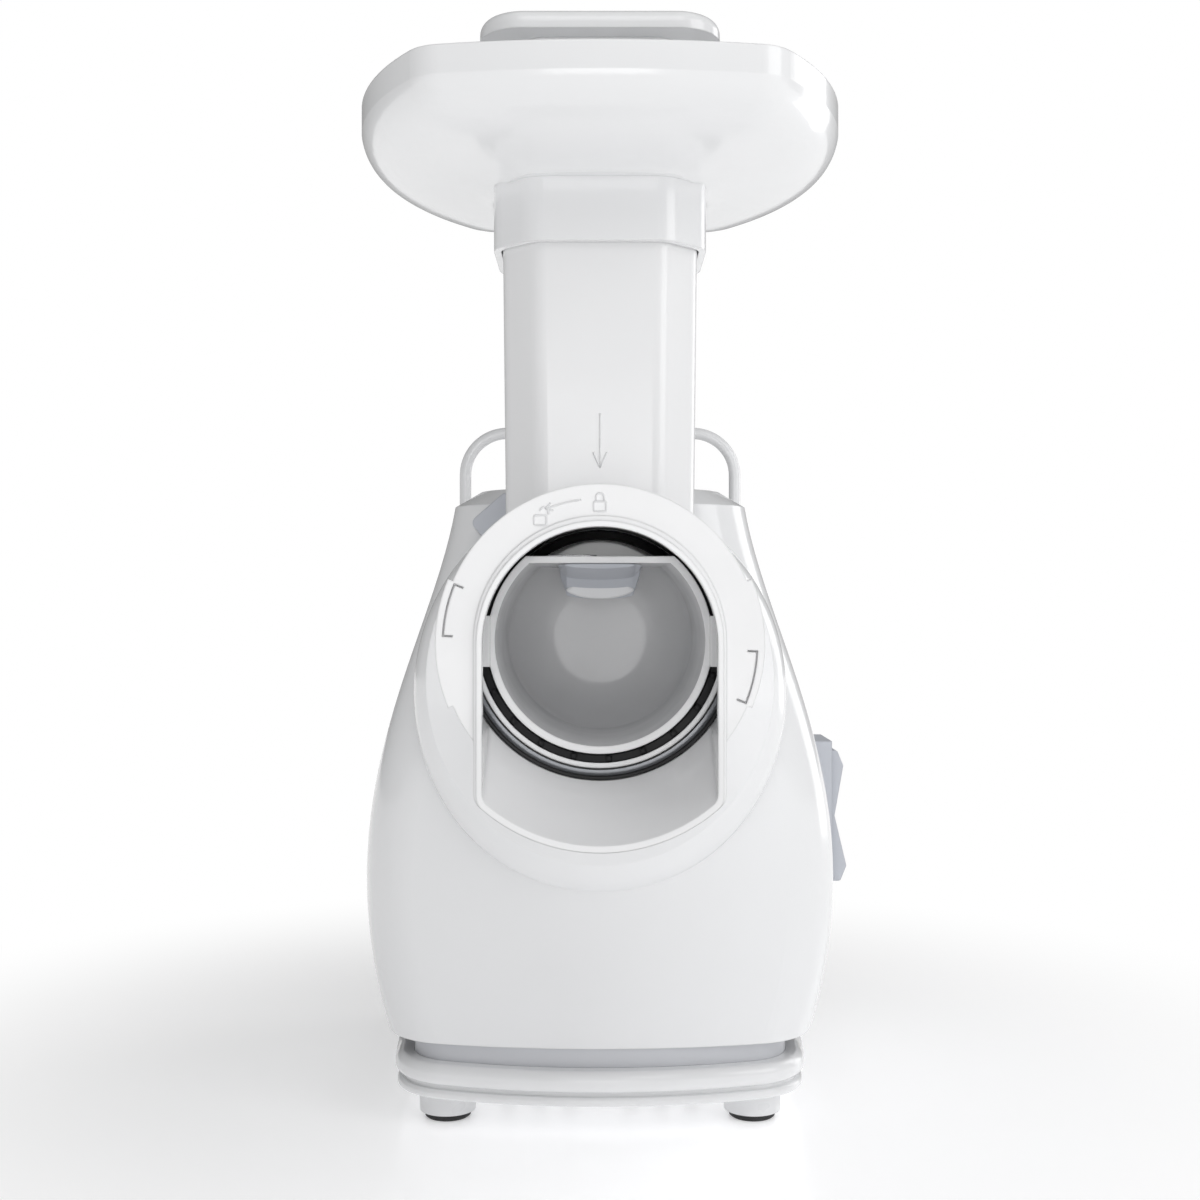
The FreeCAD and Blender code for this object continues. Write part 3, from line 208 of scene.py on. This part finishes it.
def surface(name, color, rough, grain=1400.0, bump=0.03, vary=0.02, metal=0.0, coat=0.0, edge_highlight=0.0,
            gloss=0.5):
    """A moulded or machined surface: slow colour drift, a fine grain, uneven gloss and a painted
    highlight that lightens the edges.
    """
    material = bpy.data.materials.new(name)
    tree, shader = node_group(material)
    shader.inputs["Metallic"].default_value = metal
    shader.inputs["Specular IOR Level"].default_value = gloss
    shader.inputs["Coat Weight"].default_value = coat
    shader.inputs["Coat Roughness"].default_value = 0.06
    drift = noise(tree, 18.0)
    mix = tree.nodes.new("ShaderNodeMix")
    mix.data_type = "RGBA"
    dark = [c * (1 - vary) for c in color[:3]]
    mix.inputs["A"].default_value = (*dark, 1)
    mix.inputs["B"].default_value = (*color[:3], 1)
    tree.links.new(drift, mix.inputs["Factor"])
    tone = mix.outputs["Result"]
    # Painted highlight: the base colour is lightened on convex edges, where light would catch them.
    if edge_highlight:
        edge = tree.nodes.new("ShaderNodeNewGeometry")
        ramp = tree.nodes.new("ShaderNodeMapRange")
        ramp.inputs["From Min"].default_value = 0.52
        ramp.inputs["From Max"].default_value = 0.60
        ramp.inputs["To Max"].default_value = edge_highlight
        tree.links.new(edge.outputs["Pointiness"], ramp.inputs["Value"])
        highlit_edge = tree.nodes.new("ShaderNodeMix")
        highlit_edge.data_type = "RGBA"
        highlit_edge.inputs["B"].default_value = (*[min(1.0, c * 1.25 + 0.02) for c in color[:3]], 1)
        tree.links.new(ramp.outputs["Result"], highlit_edge.inputs["Factor"])
        tree.links.new(tone, highlit_edge.inputs["A"])
        tone = highlit_edge.outputs["Result"]
    tree.links.new(tone, shader.inputs["Base Color"])
    tree.links.new(spread(tree, noise(tree, 60.0), rough * 0.85, rough * 1.2),
                   shader.inputs["Roughness"])
    relief = tree.nodes.new("ShaderNodeBump")
    relief.inputs["Strength"].default_value = bump
    relief.inputs["Distance"].default_value = 0.0004
    tree.links.new(noise(tree, grain, 2.0), relief.inputs["Height"])
    soft_edge = tree.nodes.new("ShaderNodeBevel")
    soft_edge.samples = 6
    soft_edge.inputs["Radius"].default_value = EDGE_RADIUS
    tree.links.new(soft_edge.outputs["Normal"], relief.inputs["Normal"])
    tree.links.new(relief.outputs["Normal"], shader.inputs["Normal"])
    return material


def make_materials():
    """One material for each slot of the record."""
    # edge_highlight sets how strongly each material paints a highlight on its edges.
    made = {
        "white_gloss": dict(color=(0.86, 0.865, 0.875), rough=0.16, bump=0.012, coat=0.35, edge_highlight=0.10),
        "white_clear": dict(color=(0.87, 0.872, 0.88), rough=0.20, bump=0.015, coat=0.2, edge_highlight=0.10),
        "white_satin": dict(color=(0.82, 0.825, 0.835), rough=0.30, bump=0.03, edge_highlight=0.1),
        "skirt_grey": dict(color=(0.62, 0.63, 0.66), rough=0.38, bump=0.05, edge_highlight=0.1),
        "control_grey": dict(color=(0.52, 0.54, 0.585), rough=0.34, bump=0.05, edge_highlight=0.2),
        "black_plastic": dict(color=(0.005, 0.005, 0.006), rough=0.36, bump=0.04, edge_highlight=0.1,
                              gloss=0.22),
        "black_rubber": dict(color=(0.02, 0.02, 0.021), rough=0.6, bump=0.12, grain=900.0),
        "seal_grey": dict(color=(0.30, 0.31, 0.33), rough=0.22, metal=0.5, bump=0.03),
        "steel": dict(color=(0.62, 0.63, 0.65), rough=0.24, metal=1.0, bump=0.05, grain=600.0),
        "cast_alloy": dict(color=(0.56, 0.57, 0.59), rough=0.4, metal=1.0, bump=0.12, grain=500.0),
        "lamination": dict(color=(0.22, 0.22, 0.24), rough=0.45, metal=1.0, bump=0.2, grain=700.0),
        "copper": dict(color=(0.62, 0.25, 0.10), rough=0.3, metal=1.0, bump=0.2, grain=500.0),
        "carbon": dict(color=(0.03, 0.03, 0.032), rough=0.6, bump=0.1),
        "nylon": dict(color=(0.74, 0.70, 0.58), rough=0.42, bump=0.05, edge_highlight=0.1),
        "inner_black": dict(color=(0.03, 0.03, 0.032), rough=0.5, bump=0.12, edge_highlight=0.15),
    }
    return {name: surface(name, **settings) for name, settings in made.items()}


# ---------------------------------------------------------------- carried-over CAD nodes

def dress_nodes(materials):
    """Gives every CAD node the material of its slot; the CAD's own surface normals stay."""
    for name, obj in NODES.items():
        obj.data.materials.clear()
        obj.data.materials.append(materials[SLOT_OF[name]])


# ---------------------------------------------------------------- helpers for new pieces

AXIS = middle("ribbed_ring")
# The drum housing's lip stands 0.6 mm in front of the plane of its mouth.
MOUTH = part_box("drum_housing")[0].y + 0.6 * MM


def finished(name, bm, body, slot, smooth=True):
    """Turns a bmesh into a piece that rides on a body and takes a slot's material."""
    bmesh.ops.recalc_face_normals(bm, faces=bm.faces)
    mesh = bpy.data.meshes.new(name)
    bm.to_mesh(mesh)
    bm.free()
    for face in mesh.polygons:
        face.use_smooth = smooth
    piece = bpy.data.objects.new(name, mesh)
    bpy.context.scene.collection.objects.link(piece)
    piece.data.materials.append(MATERIALS[slot])
    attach(piece, body)
    return piece


def skin(bm, rings, closed=False):
    """Quads between rings of vertices; the last ring meets the first if closed, or both are capped."""
    spans = list(zip(rings, rings[1:])) + ([(rings[-1], rings[0])] if closed else [])
    for a, b in spans:
        count = len(a)
        for i in range(count):
            j = (i + 1) % count
            bm.faces.new((a[i], a[j], b[j], b[i]))
    if not closed:
        bm.faces.new(rings[0])
        bm.faces.new(list(reversed(rings[-1])))


def ring_piece(name, section, body, slot, steps=160):
    """A ring about the drum axis, from (radius, y) corners in millimetres; y is from the mouth."""
    bm = bmesh.new()
    rings = []
    for i in range(steps):
        angle = 2 * math.pi * i / steps
        rings.append([bm.verts.new((r * MM * math.cos(angle), MOUTH + y * MM,
                                    AXIS.z + r * MM * math.sin(angle))) for r, y in section])
    skin(bm, rings, closed=True)
    return finished(name, bm, body, slot)


def front_of(node, x, z):
    """The y of the first surface of a node that a line along +Y meets at x, z."""
    hit, place, _, _ = NODES[node].ray_cast(Vector((x, -1.0, z)), Vector((0, 1, 0)))
    if not hit:
        raise SystemExit(f"no surface of {node} at x {x}, z {z}")
    return place.y


def bead(name, body, centres, outward, width, height, sides, closed):
    """A moulded bead along points on a face; width and height are half of its elliptic section."""
    bm = bmesh.new()
    count = len(centres)
    rings = []
    for i, centre in enumerate(centres):
        before = centres[i - 1] if i or closed else centres[0]
        after = centres[(i + 1) % count] if i < count - 1 or closed else centres[-1]
        run = after - before
        run = (run - outward * run.dot(outward)).normalized()
        across = outward.cross(run)
        turns = [2 * math.pi * k / sides for k in range(sides)]
        rings.append([bm.verts.new(centre + across * (width * math.cos(t))
                                   + outward * (height * math.sin(t))) for t in turns])
    skin(bm, rings, closed=closed)
    finished(name, bm, body, "white_satin")


def raised_line(name, node, body, points, closed=False):
    """A bead that follows (x, z) points, in millimetres, across the front of a node."""
    centres = [Vector((x * MM, front_of(node, x * MM, z * MM), z * MM)) for x, z in points]
    bead(name, body, centres, Vector((0, -1, 0)), 0.275 * MM, 0.3 * MM, 10, closed)


def arc_points(x, z, radius, first, last, steps=14):
    """Points (x, z) round an arc, in millimetres and degrees from +X towards +Z."""
    turns = [math.radians(first + (last - first) * i / steps) for i in range(steps + 1)]
    return [(x + radius * math.cos(t), z + radius * math.sin(t)) for t in turns]


def along(a, b, steps=8):
    """Points on the straight line between two points."""
    return [(a[0] + (b[0] - a[0]) * i / steps, a[1] + (b[1] - a[1]) * i / steps)
            for i in range(steps + 1)]


# ---------------------------------------------------------------- rings round the mouth

def make_mouth_rings():
    """Black rings either side of the grey seal, painted shadow for the dark gaps round it."""
    # Both rings are black pieces that paint the shadow in the gaps inside and outside the seal.
    ring_piece("painted_shadow_inner", [(37.25, -0.9), (37.7, -0.9), (37.7, -0.3), (37.25, -0.3)],
               "head", "black_rubber")
    ring_piece("painted_shadow_outer", [(39.65, 0.2), (40.3, -0.3), (40.7, 0.2), (40.7, 4.5), (39.65, 4.5)],
               "head", "black_rubber")


# ---------------------------------------------------------------- moulded marks

def make_padlock(name, x, z, opened):
    """A small padlock outline moulded in the cover's ring."""
    half, low, high, corner = 1.7, z - 2.4, z + 0.3, 0.5
    corners = [(x + half - corner, low + corner, -90), (x + half - corner, high - corner, 0),
               (x - half + corner, high - corner, 90), (x - half + corner, low + corner, 180)]
    outline = []
    for cx, cz, first in corners:
        outline += arc_points(cx, cz, corner, first, first + 90, 5)
    raised_line(name + "_case", "front_cover", "front_cover", outline, closed=True)
    shift = 1.1 if opened else 0.0
    shackle = [(x + 1.1 + shift, high + 0.2)] + arc_points(x + shift, high + 1.2, 1.1, 0, 180, 12)
    if not opened:
        shackle.append((x - 1.1, high + 0.2))
    raised_line(name + "_shackle", "front_cover", "front_cover", shackle)


def make_marks():
    """Padlocks and a turning arrow on the cover's ring, and an arrow down the chute."""
    axis = AXIS.z / MM
    make_padlock("lock_mark", 0.0, axis + 38.8, opened=False)
    make_padlock("unlock_mark", -16.4, axis + 35.0, opened=True)
    radius = 39.9
    sweep = arc_points(0, axis, radius, 97.5, 112.0, 16)
    raised_line("turn_arrow", "front_cover", "front_cover", sweep)
    tip = sweep[-1]
    for side, turn in (("upper", 30), ("lower", -30)):
        back = math.radians(112.0 - 90.0 + turn)
        end = (tip[0] + 2.2 * math.cos(back), tip[1] + 2.2 * math.sin(back))
        raised_line(f"turn_arrow_{side}", "front_cover", "front_cover",
                    along(tip, end, 4))
    top, low = axis + 69.0, axis + 52.5
    raised_line("chute_arrow", "drum_housing", "head", along((0, top), (0, low)))
    for side, sign in (("left", -1), ("right", 1)):
        raised_line(f"chute_arrow_{side}", "drum_housing", "head",
                    along((0, low), (sign * 2.1, low + 4.6), 5))


# ---------------------------------------------------------------- inside the drum

# The flat wall of the drum, in millimetres: the blade lies on top of it.
FLAT_WALL = 2.0


def hood_outline(half, low, high, steps=20):
    """A closed shape in X and Z: straight on top, widest a little lower, and bowed at its foot."""
    waist = high - (high - low) * 0.35
    foot = 0.84 * half
    points = [(0.72 * half, high), (half, waist)]
    points += [(foot * math.cos(math.pi * i / steps), low + 1.2 - 1.2 * math.sin(math.pi * i / steps))
               for i in range(steps + 1)]
    points += [(-half, waist), (-0.72 * half, high)]
    return points


def make_drum_guard():
    """A hood under the drum's flat side that leads the slices down, with a lens-shaped lip."""
    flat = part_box("drum_blade")[0].z / MM - FLAT_WALL
    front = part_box("slicing_drum")[0].y / MM + 5.5
    # (distance behind the front, half width, depth below the flat) at each section
    stations = [(0.0, 12.4, 1.6), (14.0, 12.3, 4.6), (17.5, 12.1, 10.4), (50.0, 11.2, 10.4)]
    bm = bmesh.new()
    rings = []
    for y, half, drop in stations:
        outline = hood_outline(half, flat - drop, flat - 0.1)
        rings.append([bm.verts.new((x * MM, (front + y) * MM, z * MM)) for x, z in outline])
    skin(bm, rings)
    # The hood takes the darker grey of the controls as painted shade, for the shadow that the flat
    # casts on it.
    finished("drum_guard", bm, "drum", "control_grey", smooth=False)

    bm = bmesh.new()
    rings = []
    steps = 24
    lip_half, lip_rise, lip_drop = 10.4, 2.8, 7.7
    # (distance behind the front, share of full size) at each section of the lip
    for y, grow in ((19.0, 0.86), (16.2, 1.0), (15.8, 0.97), (15.6, 0.90)):
        ring = []
        for i in range(steps):
            turn = 2 * math.pi * i / steps
            x = lip_half * grow * math.cos(turn)
            z = flat - lip_drop + lip_rise * grow * math.sin(turn) * abs(math.sin(turn)) ** 0.3
            ring.append(bm.verts.new((x * MM, (front + y) * MM, z * MM)))
        rings.append(ring)
    skin(bm, rings)
    finished("guard_lip", bm, "drum", "white_satin", smooth=False)


def make_crest():
    """A thin round plate behind the flat side: only its top, above the flat, is there."""
    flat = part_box("drum_blade")[0].z
    rise = 5.6
    centre = AXIS.z + rise * MM
    steps = 48
    bm = bmesh.new()
    rings = []
    # (y from the mouth, radius) round the plate's edge
    for y, radius in ((22.0, 24.2), (22.3, 24.6), (23.3, 24.6), (23.6, 24.2)):
        first = math.asin((flat - centre) / (radius * MM))
        turns = [first + (math.pi - 2 * first) * i / steps for i in range(steps + 1)]
        rings.append([bm.verts.new((radius * MM * math.cos(turn), MOUTH + y * MM,
                                    centre + radius * MM * math.sin(turn))) for turn in turns])
    skin(bm, rings)
    finished("drum_crest", bm, "drum", "white_gloss", smooth=False)


# ---------------------------------------------------------------- release spring

def make_spring():
    """The coil behind the release button, at one fixed length."""
    low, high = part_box("release_spring")
    centre = (low + high) / 2
    wire = 0.4 * MM
    coil = (high.x - low.x) / 2 - wire
    turns, steps, sides = 3, 28, 8
    start, end = low.y + wire, high.y - wire
    bm = bmesh.new()
    rings = []
    count = turns * steps
    for i in range(count + 1):
        turn = 2 * math.pi * i / steps
        out = Vector((math.cos(turn), 0, math.sin(turn)))
        spot = Vector((centre.x, start + (end - start) * i / count, centre.z)) + out * coil
        rings.append([bm.verts.new(spot + out * (wire * math.cos(2 * math.pi * k / sides))
                                   + Vector((0, wire * math.sin(2 * math.pi * k / sides), 0)))
                      for k in range(sides)])
    skin(bm, rings)
    spring = finished("button_spring", bm, "motor_base", SLOT_OF["release_spring"])
    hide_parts("release_spring")
    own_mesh(spring)


# ---------------------------------------------------------------- rocker marks

def side_of(node, y, z):
    """The x of the first surface of a node that a line along -X meets at y, z."""
    hit, place, _, _ = NODES[node].ray_cast(Vector((1.0, y, z)), Vector((-1, 0, 0)))
    if not hit:
        raise SystemExit(f"no surface of {node} at y {y}, z {z}")
    return place.x


def rocker_mark(name, points, closed):
    """A bead on the rocker's outer face, through (y, z) points in millimetres."""
    centres = [Vector((side_of("rocker", y * MM, z * MM), y * MM, z * MM)) for y, z in points]
    bead(name, "rocker", centres, Vector((1, 0, 0)), 0.4 * MM, 0.2 * MM, 8, closed)


def make_rocker_marks():
    """A bar at the on end and a ring at the off end."""
    centre = middle("rocker")
    y, z = centre.y / MM, centre.z / MM
    rocker_mark("on_mark", along((y, z + 9.0), (y, z + 15.0)), closed=False)
    rocker_mark("off_mark", arc_points(y, z - 12.0, 3.0, 0, 345, 23), closed=True)


set_camera()
set_world()
set_lights()
set_floor()
MATERIALS = make_materials()
dress_nodes(MATERIALS)
make_mouth_rings()
make_marks()
make_drum_guard()
make_crest()
make_spring()
make_rocker_marks()

bpy.context.scene.view_settings.view_transform = "Standard"
